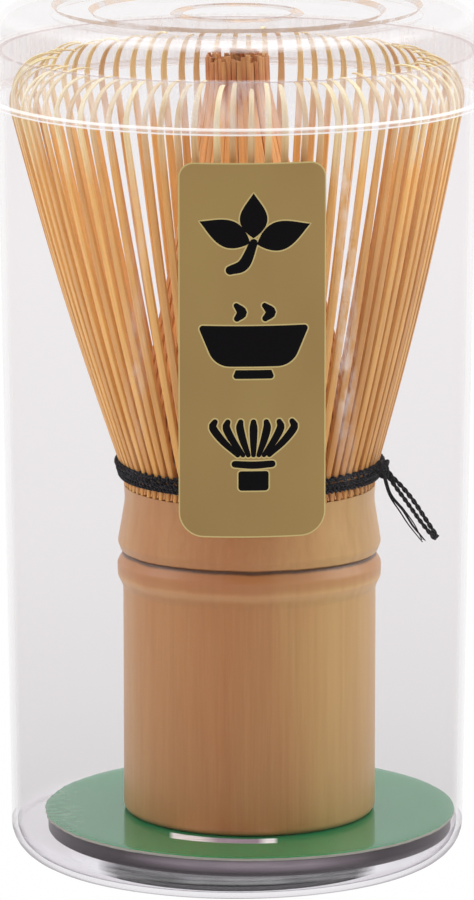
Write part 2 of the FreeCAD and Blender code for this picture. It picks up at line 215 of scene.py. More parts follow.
def merge(parts):
    """Joins several (vertices, faces) into one."""
    verts, faces = [], []
    for v, f in parts:
        faces += [[i + len(verts) for i in face] for face in f]
        verts += v
    return verts, faces


def twisted(points, radius, pitch, plies=2, sides=7, closed=False, spread=0.52):
    """Plies of thread twisted round a line of points, as (vertices, faces)."""
    p, t, n, b = frames(points, closed)
    steps = np.linalg.norm(np.roll(p, -1, 0) - p, axis=1)
    along = np.concatenate([[0], np.cumsum(steps)])
    total = along[-1] if closed else along[-2]
    turns = max(1, round(total / pitch)) if closed else total / pitch
    parts = []
    for ply in range(plies):
        a = 2 * math.pi * (ply / plies + turns * along[: len(p)] / total)
        offset = n * np.cos(a)[:, None] + b * np.sin(a)[:, None]
        parts.append(tube(p + offset * radius * spread, radius * 0.58, sides, closed))
    return merge(parts)


def smooth_line(points, step):
    """Points along a Catmull-Rom line through the given ones, about step apart."""
    p = [Vector(q) for q in points]
    p = [p[0] * 2 - p[1]] + p + [p[-1] * 2 - p[-2]]
    line = []
    for a, b, c, d in zip(p, p[1:], p[2:], p[3:]):
        count = max(2, round((c - b).length / step))
        for k in range(count):
            u = k / count
            line.append(0.5 * (
                2 * b + (c - a) * u + (2 * a - 5 * b + 4 * c - d) * u * u + (3 * b - a - 3 * c + d) * u ** 3
            ))
    return [tuple(q) for q in line] + [tuple(p[-2])]


def store(obj, name, kind, values):
    """Writes one value per vertex into an attribute that the materials read."""
    attribute = obj.data.attributes.new(name, kind, "POINT")
    field = "vector" if kind == "FLOAT_VECTOR" else "value"
    attribute.data.foreach_set(field, np.array(values, np.float32).ravel())


# Materials


class Graph:
    """A material's node tree, with short ways to add and link nodes."""

    def __init__(self, name):
        self.material = bpy.data.materials.new(name)
        self.material.use_nodes = True
        self.tree = self.material.node_tree
        self.tree.nodes.clear()
        self.output = self.tree.nodes.new("ShaderNodeOutputMaterial")

    def add(self, kind, out=0, settings=None, **inputs):
        """Adds a node, whose inputs are numbers, colours or other nodes' outputs. Returns its output out."""
        node = self.tree.nodes.new("ShaderNode" + kind)
        for key, value in (settings or {}).items():
            setattr(node, key, value)
        for key, value in inputs.items():
            socket = node.inputs[int(key[1:]) if key[1:].isdigit() else key.replace("_", " ")]
            if isinstance(value, bpy.types.NodeSocket):
                self.tree.links.new(value, socket)
            elif socket.type == "RGBA" and len(value) == 3:
                socket.default_value = (*value, 1)
            else:
                socket.default_value = value
        return node.outputs[out]

    def math(self, operation, a, b=0.0, clamp=False):
        return self.add("Math", settings={"operation": operation, "use_clamp": clamp}, i0=a, i1=b)

    def plus(self, a, b, clamp=False):
        return self.math("ADD", a, b, clamp)

    def minus(self, a, b):
        return self.math("SUBTRACT", a, b)

    def times(self, a, b):
        return self.math("MULTIPLY", a, b)

    def over(self, a, b):
        return self.math("DIVIDE", a, b)

    def absolute(self, a):
        return self.math("ABSOLUTE", a)

    def mix(self, factor, a, b):
        node = self.tree.nodes.new("ShaderNodeMix")
        node.data_type = "RGBA"
        for index, value in ((0, factor), (6, a), (7, b)):
            if isinstance(value, bpy.types.NodeSocket):
                self.tree.links.new(value, node.inputs[index])
            else:
                node.inputs[index].default_value = (*value, 1) if index else value
        return node.outputs[2]

    def ramp(self, factor, *stops):
        """A colour ramp. Each stop is (position, colour or grey)."""
        node = self.tree.nodes.new("ShaderNodeValToRGB")
        elements = node.color_ramp.elements
        while len(elements) < len(stops):
            elements.new(0.5)
        for element, (position, colour) in zip(elements, stops):
            element.position = position
            element.color = (*colour, 1) if isinstance(colour, tuple) else (colour, colour, colour, 1)
        self.tree.links.new(factor, node.inputs[0])
        return node.outputs[0]

    def position(self, *scale):
        """The object's coordinates, in millimetres, times scale."""
        where = self.add("TexCoord", out=3)
        return self.add("Mapping", Vector=where, Scale=tuple(s / MM for s in scale))

    def axis(self, number):
        """The object's x, y or z, in millimetres."""
        return self.add("SeparateXYZ", out=number, Vector=self.position(1, 1, 1))

    def level(self):
        """1 where the surface is level, 0 where it is upright."""
        return self.absolute(self.add("SeparateXYZ", out=2, Vector=self.add("TexCoord", out=1)))

    def noise(self, vector, scale, detail=3.0, roughness=0.5, distortion=0.0):
        return self.add("TexNoise", Vector=vector, Scale=scale, Detail=detail,
                        Roughness=roughness, Distortion=distortion)

    def bump(self, height, distance):
        """A bump whose full height is distance, in millimetres."""
        return self.add("Bump", Height=height, Distance=distance * MM)

    def surface(self, shader):
        self.tree.links.new(shader, self.output.inputs[0])
        return self.material

    def solid(self, colour, **inputs):
        """The finished material, with one principled shader."""
        return self.surface(self.add("BsdfPrincipled", Base_Color=colour, **inputs))


def srgb(text):
    """A linear colour from six hexadecimal digits."""
    values = [int(text[i : i + 2], 16) / 255 for i in (0, 2, 4)]
    return tuple(v / 12.92 if v <= 0.04045 else ((v + 0.055) / 1.055) ** 2.4 for v in values)


def plastic(name, tint, cover, colour=(0.86, 0.86, 0.87), roughness=0.08):
    """Clear plastic from two parts: light that goes through, tinted, and a glossy surface over it.

    tint and cover are functions that take the graph. cover gives the glossy surface's share.
    """
    g = Graph(name)
    waves = g.noise(g.position(0.03, 0.03, 0.012), 1.0, 2.0)
    gloss = g.add("BsdfPrincipled", Base_Color=colour, Roughness=roughness, IOR=1.5, Specular_IOR_Level=0.8,
                  Normal=g.bump(waves, 0.25))
    through = g.add("BsdfTransparent", Color=tint(g))
    return g.surface(g.add("MixShader", i0=cover(g), i1=through, i2=gloss))


def grazing(g):
    """0 where the surface faces the eye, 1 at its outline."""
    return g.add("LayerWeight", out=1, Blend=0.5)


def height_share(g, top):
    """Height over the case's foot as a share of top, in millimetres."""
    return g.over(g.axis(2), top)


def clear_plastic():
    """The cup's wall: a grey that deepens towards the foot, a pale sheen at its outline, and two painted
    reflection streaks on its front.
    """
    def tint(g):
        grey = g.ramp(height_share(g, 125), (0.0, WALL[0]), (0.05, WALL[1]), (0.14, WALL[2]), (0.37, WALL[3]),
                      (0.75, WALL[4]))
        return g.mix(g.ramp(grazing(g), (0.8, 0.0), (0.96, 1.0)), grey, (0.99, 0.99, 0.99))

    def cover(g):
        across = g.axis(0)
        # two faint upright streaks of painted reflection, as where the moulded wall waves a little
        grain = g.ramp(g.noise(g.position(0.7, 0.7, 0.3), 1.0, 4.0, 0.7), (0.42, 0.0), (0.68, 1.0))
        streaks = 0.0
        for place, strength in ((15.9, 0.32), (-14.6, 0.12)):
            off = g.absolute(g.minus(across, place))
            streaks = g.plus(streaks, g.ramp(g.over(off, 4.0), (0.1, strength), (0.45, 0.0)))
        tall = g.ramp(height_share(g, 125), (0.5, 0.0), (0.62, 1.0), (0.86, 1.0), (0.93, 0.3))
        front = g.math("LESS_THAN", g.axis(1), 0.0)
        streaks = g.times(g.times(streaks, grain), g.times(tall, front))
        edge = g.ramp(grazing(g), (0.0, 0.004), (0.6, 0.012), (0.85, 0.05), (1.0, 0.35))
        return g.plus(streaks, edge, clamp=True)

    return plastic("clear_plastic", tint, cover)


def foot_plastic():
    """The cup's rounded foot: bright inside, with a dark outline and a painted highlight band round its
    corner.
    """
    def tint(g):
        return g.ramp(grazing(g), (0.0, (0.955, 0.95, 0.96)), (0.75, (0.93, 0.92, 0.935)),
                      (0.9, (0.6, 0.58, 0.6)))

    def cover(g):
        down = g.level()
        # painted highlight: a band of white gloss along the rounded corner
        painted_shine = g.ramp(down, (0.22, 0.0), (0.27, 0.2), (0.33, 0.2), (0.38, 0.0))
        uneven = g.ramp(g.noise(g.position(0.12, 0.12, 0.12), 1.0, 3.0), (0.35, 0.3), (0.6, 1.0))
        edge = g.ramp(grazing(g), (0.0, 0.01), (0.8, 0.05), (1.0, 0.2))
        return g.plus(g.times(painted_shine, uneven), edge, clamp=True)

    return plastic("clear_plastic_foot", tint, cover, (0.95, 0.94, 0.96))


def lid_plastic():
    """The lid, with a painted highlight band where its shoulder turns towards the light above."""
    def tint(g):
        return g.mix(g.ramp(grazing(g), (0.85, 0.0), (0.97, 1.0)), (0.968, 0.963, 0.965), (0.99, 0.99, 0.99))

    def cover(g):
        up = g.level()
        # painted highlight band on the shoulder, weaker at the sides and behind
        band = g.ramp(up, (0.55, 0.0), (0.66, 0.5), (0.82, 0.5), (0.9, 0.05), (1.0, 0.0))
        band = g.times(band, g.math("GREATER_THAN", g.axis(2), RIM + 2.5))
        aside = g.over(g.absolute(g.axis(0)), 36.0)
        behind = g.math("GREATER_THAN", g.axis(1), 0.0)
        band = g.times(band, g.ramp(aside, (0.35, 0.75), (0.8, 0.2)))
        band = g.times(band, g.minus(1.0, g.times(behind, 0.6)))
        uneven = g.ramp(g.noise(g.position(0.06, 0.06, 0.06), 1.0, 3.0), (0.35, 0.45), (0.65, 1.0))
        # the skirt, under the ledge, carries painted whitish streaks of reflection
        painted_reflection_streaks = g.ramp(g.noise(g.position(0.55, 0.55, 0.12), 1.0, 4.0, 0.65), (0.4, 0.03), (0.7, 0.3))
        skirt = g.times(painted_reflection_streaks, g.math("LESS_THAN", g.axis(2), RIM + 0.3))
        edge = g.ramp(grazing(g), (0.0, 0.006), (0.6, 0.02), (0.9, 0.08), (1.0, 0.3))
        return g.plus(g.plus(g.times(band, uneven), skirt), edge, clamp=True)

    return plastic("clear_plastic_lid", tint, cover, (0.97, 0.97, 0.98))


def bead_plastic():
    """The bead round the lid's edge: two painted highlight lines with a greyer one between them."""
    def cover(g):
        share = g.minus(g.axis(2), LID_LOW.z)
        return g.ramp(share, (0.0, 0.75), (0.25, 0.75), (0.38, 0.15), (0.65, 0.15), (0.78, 0.6), (1.0, 0.6))

    return plastic("clear_plastic_bead", lambda g: (0.93, 0.9, 0.9), cover, (1.0, 1.0, 1.0), 0.2)


def rim_plastic():
    """The cup's rim, a fine grey-pink line."""
    return plastic("clear_plastic_rim", lambda g: (0.84, 0.78, 0.78),
                   lambda g: g.ramp(g.noise(g.position(0.4, 0.4, 0.4), 1.0, 3.0), (0.3, 0.1), (0.7, 0.4)),
                   srgb("C4B2B0"), 0.2)


def ring_plastic():
    """The steps in the lid's top: broken tan-grey lines, as they bend the light from the bamboo below."""
    def cover(g):
        return g.ramp(g.noise(g.position(0.22, 0.22, 0.1), 1.0, 3.0), (0.38, 0.05), (0.56, 0.7))

    return plastic("clear_plastic_ring", lambda g: (0.9, 0.87, 0.86), cover, srgb("C2A488"), 0.3)


def plastic_edge():
    """The wall round the raised floor: a painted dark reflection in the middle of its front and back, clear
    beside it.
    """
    def cover(g):
        across = g.absolute(g.axis(0))
        beside = g.ramp(g.over(across, 30.0), (0.58, 1.0), (0.7, 0.0))
        painted_dark_bands = g.ramp(height_share(g, 3.5), (0.0, 0.97), (0.4, 0.97), (0.55, 0.55), (0.68, 0.55), (0.8, 0.9),
                       (1.0, 0.9))
        return g.times(beside, painted_dark_bands)

    return plastic("clear_plastic_edge", lambda g: (0.93, 0.92, 0.94), cover, srgb("1F191D"), 0.3)


def card_green():
    """Glossy printed card, paler in patches at its left, with a painted bright bar of reflection, glowing a
    little, in front of the whisk's foot.
    """
    g = Graph("green_card")
    across = g.axis(0)
    depth = g.axis(1)
    mottle = g.noise(g.position(0.35, 0.35, 0.35), 1.0, 4.0, 0.6)
    fibres = g.noise(g.position(3, 3, 3), 1.0, 3.0)
    colour = g.mix(mottle, srgb("08844F"), srgb("128F5B"))
    # paler in patches towards the left
    pale_left = g.ramp(g.over(g.minus(SHIFT, across), 30.0), (0.75, 0.0), (0.97, 0.6))
    patches = g.ramp(g.noise(g.position(0.5, 0.9, 0.5), 1.0, 4.0, 0.7), (0.45, 0.0), (0.62, 1.0))
    colour = g.mix(g.times(pale_left, patches), colour, srgb("7FA48E"))
    # the bright bar: a painted reflection in an arc round the culm's foot, with a little emission so that it
    # glows
    off = g.minus(across, SHIFT)
    far = g.math("SQRT", g.plus(g.times(off, off), g.times(depth, depth)))
    from_foot = g.over(g.minus(far, 19.0), 4.0)
    arc = g.ramp(from_foot, (0.14, 0.0), (0.22, 1.0), (0.8, 1.0), (0.9, 0.0))
    share = g.over(g.plus(across, 10.5), 17.0)
    ends = g.ramp(share, (0.02, 0.0), (0.06, 1.0), (0.94, 1.0), (0.98, 0.0))
    front = g.math("LESS_THAN", depth, 0.0)
    painted_bar = g.times(g.times(arc, ends), front)
    painted_shine = g.ramp(share, (0.05, srgb("F4F2F2")), (0.3, srgb("E2DCDC")), (0.45, srgb("9C8C9C")),
                   (0.8, srgb("8C7C90")), (0.88, srgb("F4F2F4")))
    streak = g.ramp(g.noise(g.position(0.25, 2.2, 1), 1.0, 2.0), (0.4, 1.0), (0.62, 0.65))
    painted_shine = g.mix(streak, srgb("77706F"), painted_shine)
    return g.solid(g.mix(painted_bar, colour, painted_shine), IOR=1.5,
                   Roughness=g.ramp(fibres, (0.3, 0.1), (0.8, 0.2)), Coat_Weight=0.35, Coat_Roughness=0.04,
                   Emission_Color=painted_shine, Emission_Strength=g.times(painted_bar, 0.5),
                   Normal=g.bump(fibres, 0.01))


def board_grey():
    """The dark board under the card, with a painted highlight in the middle of its front."""
    g = Graph("board_grey")
    across = g.absolute(g.minus(g.axis(0), SHIFT))
    share = g.minus(g.axis(2), CARD_LOW.z)
    share = g.over(share, CARD_HIGH.z - CARD_LOW.z - 0.4)
    streaks = g.noise(g.position(0.08, 0.08, 1.4), 1.0, 3.0)
    painted_shine = g.times(g.ramp(share, (0.2, 0.0), (0.6, 1.0), (0.85, 0.9), (0.97, 0.2)),
                   g.ramp(g.over(across, 31.0), (0.3, 1.0), (0.62, 0.1), (0.95, 0.05)))
    painted_shine = g.times(painted_shine, g.ramp(streaks, (0.3, 0.6), (0.7, 1.0)))
    return g.solid(g.mix(painted_shine, srgb("31282D"), srgb("A89CA6")), Roughness=0.35,
                   Normal=g.bump(streaks, 0.02))


def card_core():
    """The card's cut edge."""
    g = Graph("card_core")
    plies = g.noise(g.position(0.5, 0.5, 12), 1.0, 3.0)
    return g.solid(g.ramp(plies, (0.3, srgb("93948A")), (0.7, srgb("B4B2A6"))),
                   Roughness=0.8, Normal=g.bump(plies, 0.04))


def label_gold():
    """Satin gold paper."""
    g = Graph("label_gold")
    cloud = g.noise(g.position(0.07, 0.07, 0.04), 1.0, 2.0)
    grain = g.noise(g.position(6, 6, 6), 1.0, 2.0)
    colour = g.mix(cloud, srgb("886A3A"), srgb("987E45"))
    return g.solid(colour, Metallic=0.25, Roughness=0.42, IOR=1.5,
                   Normal=g.bump(grain, 0.006))


def label_rim():
    """The pale line round the label's edge and round its print."""
    g = Graph("label_rim")
    grain = g.noise(g.position(5, 5, 5), 1.0, 2.0)
    return g.solid(g.mix(grain, srgb("AE9A60"), srgb("BFAA70")), Roughness=0.45,
                   Normal=g.bump(grain, 0.004))


def label_ink():
    """Black print, a little raised and glossy."""
    g = Graph("label_ink")
    grain = g.noise(g.position(4, 4, 4), 1.0, 3.0)
    return g.solid(g.mix(grain, srgb("050304"), srgb("0C0A0D")), Roughness=0.5,
                   Specular_IOR_Level=0.06, Normal=g.bump(grain, 0.006))


def bamboo_skin():
    """The culm's polished skin: warm tan, redder in the middle of its front and yellower to the right, partly
    its own tone and partly painted light and shade: paler at the sides, darker in the middle.
    """
    g = Graph("bamboo_skin")
    across = g.axis(0)
    height = g.axis(2)
    broad = g.noise(g.position(0.11, 0.11, 0.016), 1.0, 2.0, 0.5, 0.6)
    streaks = g.noise(g.position(1.1, 1.1, 0.03), 1.0, 4.0, 0.6)
    fibres = g.noise(g.position(5.5, 5.5, 0.09), 1.0, 3.0, 0.6)
    # painted light and shade across the culm, mixed with its own tone: paler at the sides, darker in the
    # middle of the front
    side = g.over(g.minus(across, SHIFT - 20.0), 40.0)
    side = g.plus(side, g.times(g.minus(broad, 0.5), 0.35))
    base = g.ramp(side, (0.02, srgb("BC8C58")), (0.2, srgb("B57C48")), (0.38, srgb("B4753F")),
                  (0.6, srgb("B78049")), (0.8, srgb("C0985B")), (1.0, srgb("BE965F")))
    base = g.mix(g.times(g.ramp(streaks, (0.42, 0.0), (0.8, 1.0)), 0.32), base, srgb("96602F"))
    base = g.mix(g.times(g.ramp(fibres, (0.5, 0.0), (0.75, 1.0)), 0.16), base, srgb("D9B27C"))
    # the line in the node's groove, the redder ridge under it and a painted highlight line under that, all
    # tilted
    depth = g.axis(1)
    wander = g.times(g.minus(g.noise(g.position(0.2, 0.2, 0.0), 1.0, 3.0), 0.5), 0.5)
    above = g.minus(g.plus(height, wander), GROOVE)
    above = g.plus(above, g.times(depth, NODE_TILT))
    line = g.ramp(g.over(g.absolute(above), 1.2), (0.12, 1.0), (0.4, 0.0))
    below = g.over(g.minus(0.0, above), 5.0)
    ridge = g.ramp(below, (0.0, 0.0), (0.08, 1.0), (0.5, 0.8), (0.64, 0.0))
    pale = g.ramp(below, (0.6, 0.0), (0.72, 1.0), (0.8, 1.0), (0.95, 0.0))
    base = g.mix(g.times(ridge, 0.5), base, srgb("AC6A3C"))
    base = g.mix(g.times(pale, 0.35), base, srgb("D8AA78"))
    base = g.mix(g.times(line, 0.9), base, srgb("3E2217"))
    bumps = g.plus(g.times(streaks, 0.6), g.times(fibres, 0.25))
    return g.solid(base, Roughness=g.ramp(fibres, (0.3, 0.33), (0.8, 0.5)), IOR=1.5,
                   Coat_Weight=0.12, Coat_Roughness=0.2, Normal=g.bump(bumps, 0.05))


def bamboo_cut():
    """Cut bamboo, as on the culm's foot and inside it: pale, with dark fibre ends."""
    g = Graph("bamboo_cut")
    ends = g.add("TexVoronoi", Vector=g.position(2.6, 2.6, 0.12), Scale=1.0)
    dots = g.ramp(ends, (0.12, srgb("6E4523")), (0.3, srgb("C69A5F")))
    soft = g.noise(g.position(0.5, 0.5, 0.06), 1.0, 3.0)
    return g.solid(g.mix(g.times(soft, 0.6), dots, srgb("BE9058")),
                   Roughness=0.65, Normal=g.bump(ends, 0.05))


def bamboo_prong(name, low, middle, high, tip, high_start, tip_start):
    """Split bamboo, coloured along its length from low to tip by what place_prongs stores in the mesh."""
    g = Graph(name)
    along = g.add("Attribute", out=2, settings={"attribute_name": "along"})
    tone = g.add("Attribute", out=2, settings={"attribute_name": "tone"})
    grain = g.add("Attribute", out=1, settings={"attribute_name": "grain"})
    fibres = g.noise(grain, 1.0, 4.0, 0.62)
    patches = g.noise(grain, 0.22, 2.0)
    place = g.plus(along, g.times(g.minus(tone, 0.5), 0.06))
    base = g.ramp(place, (0.0, srgb(low)), (0.35, srgb(middle)),
                  (high_start - 0.05, srgb(middle)), (high_start, srgb(high)), (tip_start, srgb(tip)))
    base = g.mix(g.times(g.ramp(tone, (0.15, 1.0), (0.75, 0.0)), 0.4), base, srgb("A9622B"))
    base = g.mix(g.times(g.ramp(fibres, (0.42, 0.0), (0.78, 1.0)), 0.4), base, srgb("8E5426"))
    base = g.mix(g.times(g.ramp(patches, (0.5, 0.0), (0.8, 1.0)), 0.35), base, srgb("E3BE84"))
    # painted shade: prongs to the right are darker in their lower part, fading out towards the tips
    across = g.over(g.axis(0), 36.0)
    right = g.times(g.ramp(across, (0.2, 0.0), (0.55, 1.0)), g.ramp(along, (0.45, 0.3), (0.75, 0.0)))
    base = g.mix(right, base, srgb("7A4614"))
    return g.solid(base, Roughness=g.ramp(fibres, (0.3, 0.38), (0.8, 0.56)), IOR=1.5,
                   Subsurface_Weight=0.06, Subsurface_Radius=(0.0015, 0.0008, 0.0004), Subsurface_Scale=1.0,
                   Normal=g.bump(fibres, 0.03))


def thread_black():
    """Waxed cotton, nearly black with a blue cast."""
    g = Graph("thread_black")
    fluff = g.noise(g.position(9, 9, 9), 1.0, 3.0)
    colour = g.mix(fluff, srgb("08060A"), srgb("19161D"))
    return g.solid(colour, Roughness=0.7, Specular_IOR_Level=0.12, Sheen_Weight=0.08,
                   Sheen_Roughness=0.4, Normal=g.bump(fluff, 0.05))


WALL = [(v, v - 0.008, v - 0.004) for v in (0.965, 0.905, 0.925, 0.95, 0.967)]
CLEAR = clear_plastic()
FOOT_PLASTIC = foot_plastic()
LID_PLASTIC = lid_plastic()
BEAD = bead_plastic()
RIM_PLASTIC = rim_plastic()
RING = ring_plastic()
EDGE = plastic_edge()
BOARD = board_grey()
GREEN = card_green()
CORE = card_core()
GOLD = label_gold()
RIM_LINE = label_rim()
INK = label_ink()
SKIN = bamboo_skin()
CUT = bamboo_cut()
OUTER = bamboo_prong("bamboo_outer", "E2A34E", "EFB766", "F0CC92", "F6EAB8", 0.8, 0.92)
INNER = bamboo_prong("bamboo_inner", "EAA45A", "F4B066", "B45E22", "C88C50", 0.95, 0.99)
THREAD = thread_black()


# The case


def make_cup():
    wall, corner, floor = 0.9, 5.0, CARD_LOW.z
    step, bottom = 26.2, FOOT_RADIUS
    slope = (RIM_RADIUS - bottom) / RIM
    outline = rounded([
        (0, floor - wall),
        (step - wall, floor - wall, 0.35),
        (step - wall, 0, 0.3),
        (bottom, 0, corner),
        (RIM_RADIUS, RIM, 0.3),
        (RIM_RADIUS - wall, RIM, 0.3),
        (bottom - wall + slope * wall, wall, corner - wall),
        (step, wall, 0.5),
        (step, floor, 0.45),
        (0, floor),
    ], 8)

    def slots(r, z):
        if z > RIM - 0.12:
            return 3
        if step - wall - 0.4 < r < step + 0.3:
            return 1
        return 2 if z < corner and r > step else 0

    cup = turned("cup", outline, [CLEAR, EDGE, FOOT_PLASTIC, RIM_PLASTIC], slots=slots)
    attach(cup, "case")
    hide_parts("case_cup")


def make_lid():
    wall, skirt, neck = 1.0, 37.1, 36.4
    top, low = LID_HIGH.z, LID_LOW.z
    ledge = RIM + 0.3
    bead, bead_height = LID_HIGH.x, 1.0
    one, two, small, step = 27.0, 21.5, 9.0, 0.7
    under = 0.6
    outline = rounded([
        (skirt - wall, low, 0.25),
        (bead, low, 0.4),
        (bead, low + bead_height, 0.35),
        (skirt, low + bead_height + 0.1, 0.1),
        (skirt, ledge, 0.5),
        (neck, ledge + wall, 0.5),
        (neck, top, 4.5),
        (one + 0.5, top, 0.3),
        (one, top - step, 0.3),
        (two + 0.5, top - step, 0.3),
        (two, top - 2 * step, 0.3),
        (small + 0.9, top - 2 * step, 0.2),
        (small + 0.4, top - 2 * step + 0.35, 0.2),
        (small - 0.4, top - 2 * step + 0.35, 0.2),
        (small - 0.9, top - 2 * step, 0.2),
        (0, top - 2 * step),
        (0, top - 2 * step - wall),
        (two + under, top - 2 * step - wall, 0.3),
        (two + 0.5 + under, top - step - wall, 0.3),
        (one + under, top - step - wall, 0.3),
        (one + 0.5 + under, top - wall, 0.3),
        (neck - wall, top - wall, 3.5),
        (neck - wall, ledge, 0.2),
        (skirt - wall, ledge, 0.2),
    ], 6)

    def slots(r, z):
        if z < low + bead_height + 0.12 and r > skirt - 0.3:
            return 1
        on_step = any(abs(r - edge - 0.25) < 0.5 for edge in (one, two)) or abs(r - small) < 1.0
        return 2 if on_step and z > top - 2 * step - 0.2 else 0

    lid = turned("lid", outline, [LID_PLASTIC, BEAD, RING], slots=slots)
    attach(lid, "lid")
    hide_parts("case_lid")


def make_card():
    radius, board, low, high = CARD_HIGH.x - SHIFT, 30.6, CARD_LOW.z, CARD_HIGH.z
    under = high - 0.4

    def nibbled(angle, r, z):
        """The card's cut edge is uneven, most of all on the left."""
        if r < radius - 0.5 or z < under - 0.01:
            return r
        wear = 0.1 + 0.22 * max(0, -math.cos(angle)) ** 6
        return r - wear * (0.5 + 0.5 * math.sin(23 * angle + 1.3) * math.sin(41 * angle))

    outline = rounded([
        (0, low),
        (board, low, 0.3),
        (board, under),
        (radius, under),
        (radius, high, 0.1),
        (radius - 2, high),
        (0, high),
    ], 4)
    card = turned("card", outline, [GREEN, CORE, BOARD], segments=360, centre=SHIFT, wobble=nibbled,
                  slots=lambda r, z: 0 if z > high - 0.04 else 1 if z > under - 0.01 else 2)
    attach(card, "card")
    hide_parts("base_card")


# The label, drawn flat in (across, up) millimetres from its lower left corner and then bent round the cup

LABEL_WIDTH, LABEL_HEIGHT = LABEL_HIGH.x - LABEL_LOW.x, LABEL_HIGH.z - LABEL_LOW.z


def on_cup(across, up, lift):
    """The place of a flat point of the label, lift millimetres over the cup's wall."""
    x = LABEL_LOW.x + across
    z = LABEL_LOW.z + up
    radius = FOOT_RADIUS + (RIM_RADIUS - FOOT_RADIUS) * z / RIM + lift
    return x, -math.sqrt(radius ** 2 - x ** 2), z


def sticker(name, outlines, low, high, material):
    """Flat closed outlines as a thin layer from low to high over the cup's wall."""
    bm = bmesh.new()
    for outline in outlines:
        bm.faces.new([bm.verts.new((x, y, 0)) for x, y in outline])
    bmesh.ops.triangulate(bm, faces=bm.faces[:])
    strip = 0.6  # the layer is cut in strips this wide, so that it bends smoothly
    for k in range(1, math.ceil(LABEL_WIDTH / strip)):
        bmesh.ops.bisect_plane(bm, geom=bm.verts[:] + bm.edges[:] + bm.faces[:], dist=1e-5,
                               plane_co=(k * strip, 0, 0), plane_no=(1, 0, 0))
    made = bmesh.ops.extrude_face_region(bm, geom=bm.faces[:])
    top = {v for v in made["geom"] if isinstance(v, bmesh.types.BMVert)}
    for vert in bm.verts:
        vert.co = Vector(on_cup(vert.co.x, vert.co.y, high if vert in top else low)) * MM
    mesh = bpy.data.meshes.new(name)
    bm.to_mesh(mesh)
    bm.free()
    mesh.materials.append(material)
    set_smooth(mesh, 35)
    obj = bpy.data.objects.new(name, mesh)
    bpy.context.scene.collection.objects.link(obj)
    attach(obj, "case")
    return obj


def label_outline(inset):
    upper, lower = 2.3 - inset, 3.6 - inset
    w, h = LABEL_WIDTH - inset, LABEL_HEIGHT - inset
    return rounded([(inset, inset, lower), (w, inset, lower), (w, h, upper), (inset, h, upper)], 10)


def grown(outline, by):
    """An outline moved outwards."""
    count = len(outline)
    area = sum(outline[i - 1][0] * outline[i][1] - outline[i][0] * outline[i - 1][1] for i in range(count))
    sign = 1 if area > 0 else -1
    moved = []
    for i in range(count):
        (x0, y0), (x1, y1), (x2, y2) = outline[i - 1], outline[i], outline[(i + 1) % count]
        n = Vector((y1 - y0, x0 - x1)).normalized() + Vector((y2 - y1, x1 - x2)).normalized()
        n = n.normalized() * by * sign if n.length > 1e-6 else Vector((0, 0))
        moved.append((x1 + n.x, y1 + n.y))
    return moved


def brush(points, widths, steps=10):
    """A brush stroke: a smooth line of changing width with round ends, as a closed outline."""
    line = smooth_line([(x, y, w) for (x, y), w in zip(points, widths)], 0.35)
    left, right = [], []
    for i, (x, y, w) in enumerate(line):
        a, b = line[max(i - 1, 0)], line[min(i + 1, len(line) - 1)]
        d = Vector((b[0] - a[0], b[1] - a[1])).normalized()
        left.append((x - d.y * w / 2, y + d.x * w / 2))
        right.append((x + d.y * w / 2, y - d.x * w / 2))

    def cap(end, inner):
        x, y, w = end
        d = Vector((x - inner[0], y - inner[1])).normalized()
        heading = math.atan2(d.y, d.x)
        angles = [heading - math.pi / 2 + math.pi * k / steps for k in range(1, steps)]
        return [(x + math.cos(a) * w / 2, y + math.sin(a) * w / 2) for a in angles]

    return right + cap(line[-1], line[-2]) + left[::-1] + cap(line[0], line[1])


def leaf(x, y, length, width, heading):
    """A pointed leaf from its stalk end."""
    c, s = math.cos(math.radians(heading)), math.sin(math.radians(heading))
    upper = [(u, math.sin(math.pi * u ** 0.8) ** 1.1) for u in [k / 18 for k in range(19)]]
    upper = [(u * length, v * width / 2) for u, v in upper]
    points = upper + [(u, -v) for u, v in upper[-2:0:-1]]
    return [(x + c * u - s * v, y + s * u + c * v) for u, v in points]


def icons():
    """Three generic pictures, from the top: a sprig of tea, a tea bowl, a whisk."""
    middle = LABEL_WIDTH / 2 + 0.2
    sprig = [
        leaf(middle + 0.5, 43.4, 8.2, 4.2, 20),
        leaf(middle - 0.5, 43.6, 8.0, 4.0, 157),
        leaf(middle, 44.3, 6.6, 4.0, 90),
        brush([(middle - 3.4, 39.6), (middle - 1.4, 40.5), (middle, 43.6)], [1.3, 1.7, 1.2]),
    ]
    bowl = [
        rounded([(middle - 8.1, 31.4, 0.5), (middle - 5.6, 25.4, 3.2), (middle + 5.6, 25.4, 3.2),
                 (middle + 8.1, 31.4, 0.5)], 10),
        rounded([(middle - 3.1, 23.6, 0.4), (middle + 3.1, 23.6, 0.4), (middle + 2.6, 24.9),
                 (middle - 2.6, 24.9)], 6),
        brush([(middle - 2.4, 32.5), (middle - 1.7, 33.4), (middle - 2.5, 34.4)], [0.9, 1.5, 0.8]),
        brush([(middle + 1.7, 32.5), (middle + 2.5, 33.4), (middle + 1.6, 34.4)], [0.9, 1.5, 0.8]),
    ]
    whisk = [
        rounded([(middle - 2.2, 7.0, 0.5), (middle + 2.2, 7.0, 0.5), (middle + 2.2, 9.9, 0.4),
                 (middle - 2.2, 9.9, 0.4)], 6),
        brush([(middle - 2.7, 10.95), (middle, 10.8), (middle + 2.7, 10.95)], [1.0, 1.1, 1.0]),
    ]
    for k in range(-3, 4):
        fan = k / 3
        tine = [(2.3, 12.3), (4.5, 14.4), (5.9, 16.3), (5.6, 17.2)]
        whisk.append(brush([(middle + fan * x, y) for x, y in tine], [0.7, 1.05, 1.15, 0.8]))
    return sprig + bowl + whisk


